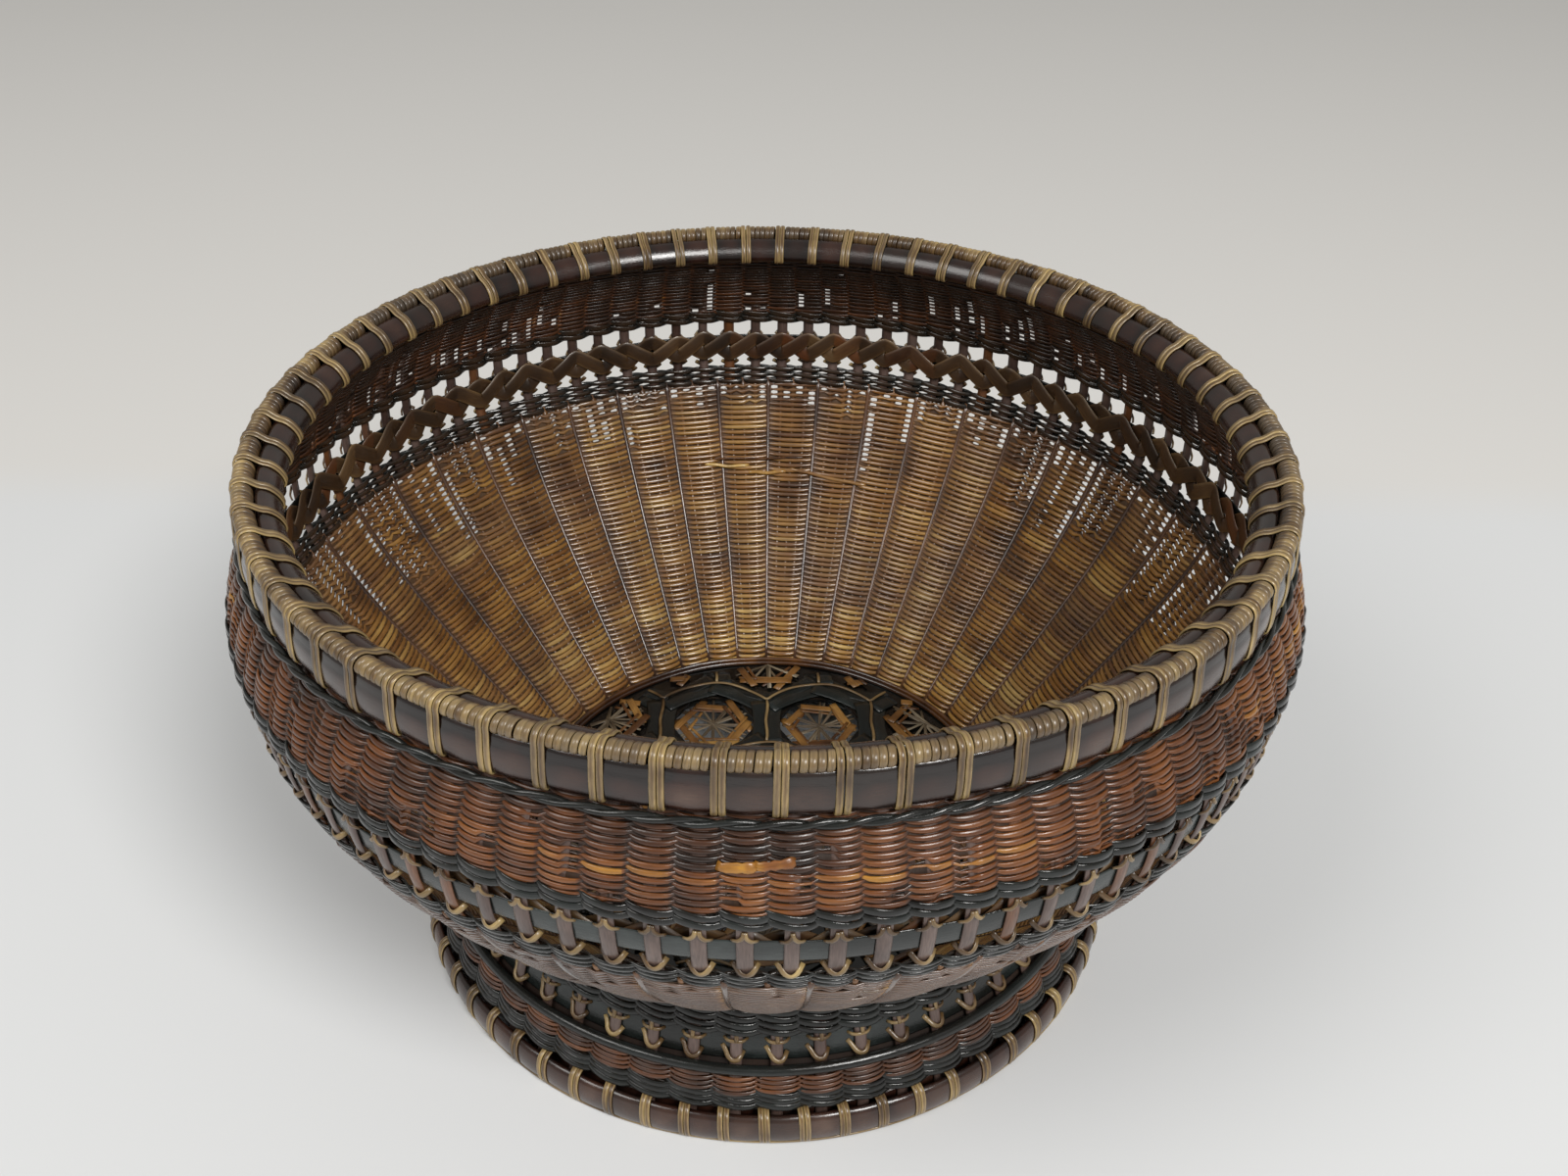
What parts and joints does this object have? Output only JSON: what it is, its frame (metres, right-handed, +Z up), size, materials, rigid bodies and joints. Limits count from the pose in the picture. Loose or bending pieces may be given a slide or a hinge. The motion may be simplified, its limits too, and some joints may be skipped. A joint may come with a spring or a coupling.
{
  "type": "basket bowl",
  "caption": "Footed round basket bowl of woven cane with a lashed rim, an openwork girdle, a honeycomb floor and a flared lashed foot.",
  "frame": {"origin": "on the ground under the centre of the foot", "axes": "+Z up along the bowl's axis; -Y towards the side that the picture shows"},
  "size_m": [0.4124, 0.4124, 0.2326],
  "materials": {
    "black_cane": "semi-gloss lacquer over split cane",
    "brown_cane": "semi-gloss lacquer over bent cane",
    "mauve_cane": "satin cane skin",
    "tan_cane": "satin natural split cane",
    "orange_cane": "satin stained split cane",
    "red_wicker": "satin stained wicker",
    "gold_wicker": "satin stained wicker"
  },
  "bodies": {
    "root": {"rim_under_cane": "black_cane", "upper_twining_outer": "black_cane", "upper_twining_inner": "black_cane", "lower_twining_outer": "black_cane", "lower_twining_inner": "black_cane", "flat_band": "black_cane", "floor_plait": "black_cane", "foot_upper_rows": "black_cane", "foot_band": "black_cane", "foot_cane": "black_cane", "foot_lower_rows": "black_cane", "rim_outer_hoop": "brown_cane", "rim_inner_hoop": "brown_cane", "foot_outer_hoop": "brown_cane", "foot_inner_hoop": "brown_cane", "stakes": "mauve_cane", "foot_stakes": "mauve_cane", "rim_top_cane": "tan_cane", "rim_binding": "tan_cane", "floor_ring": "tan_cane", "foot_binding": "tan_cane", "floor_rosette_01": "orange_cane", "floor_rosette_02": "orange_cane", "floor_rosette_03": "orange_cane", "floor_rosette_04": "orange_cane", "floor_rosette_05": "orange_cane", "floor_rosette_06": "orange_cane", "floor_rosette_07": "orange_cane", "floor_rosette_08": "orange_cane", "upper_wall": "red_wicker", "foot_brown_rows": "red_wicker", "lower_wall": "gold_wicker", "base_wall": "gold_wicker", "cross_strip_left": "gold_wicker", "cross_strip_right": "gold_wicker"}
  },
  "joints": []
}
